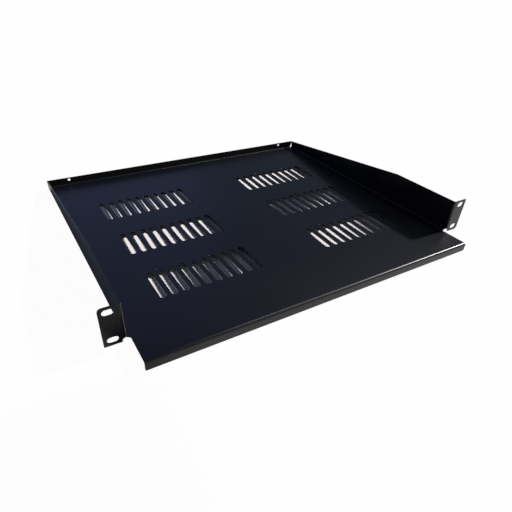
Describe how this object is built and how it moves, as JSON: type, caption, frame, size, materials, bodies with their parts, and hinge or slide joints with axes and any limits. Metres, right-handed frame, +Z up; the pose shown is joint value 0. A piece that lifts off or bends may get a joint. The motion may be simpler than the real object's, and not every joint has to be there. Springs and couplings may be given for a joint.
{
  "type": "cantilever rack shelf",
  "caption": "One-unit cantilever shelf for a 19 inch rack: vented steel tray folded in one piece, with sloping side walls, slotted ears and a turned-down front edge.",
  "frame": {"origin": "centre of the four rack slots, on the front face of the two ears", "axes": "+X to the right along the shelf's width, +Y to the rear, away from the ears' front face, +Z up"},
  "size_m": [0.4826, 0.4, 0.0526],
  "materials": {
    "powder_coated_steel": "satin black powder coat with a slight navy cast over folded sheet steel"
  },
  "bodies": {
    "root": {"folded_shelf": "powder_coated_steel"}
  },
  "joints": []
}
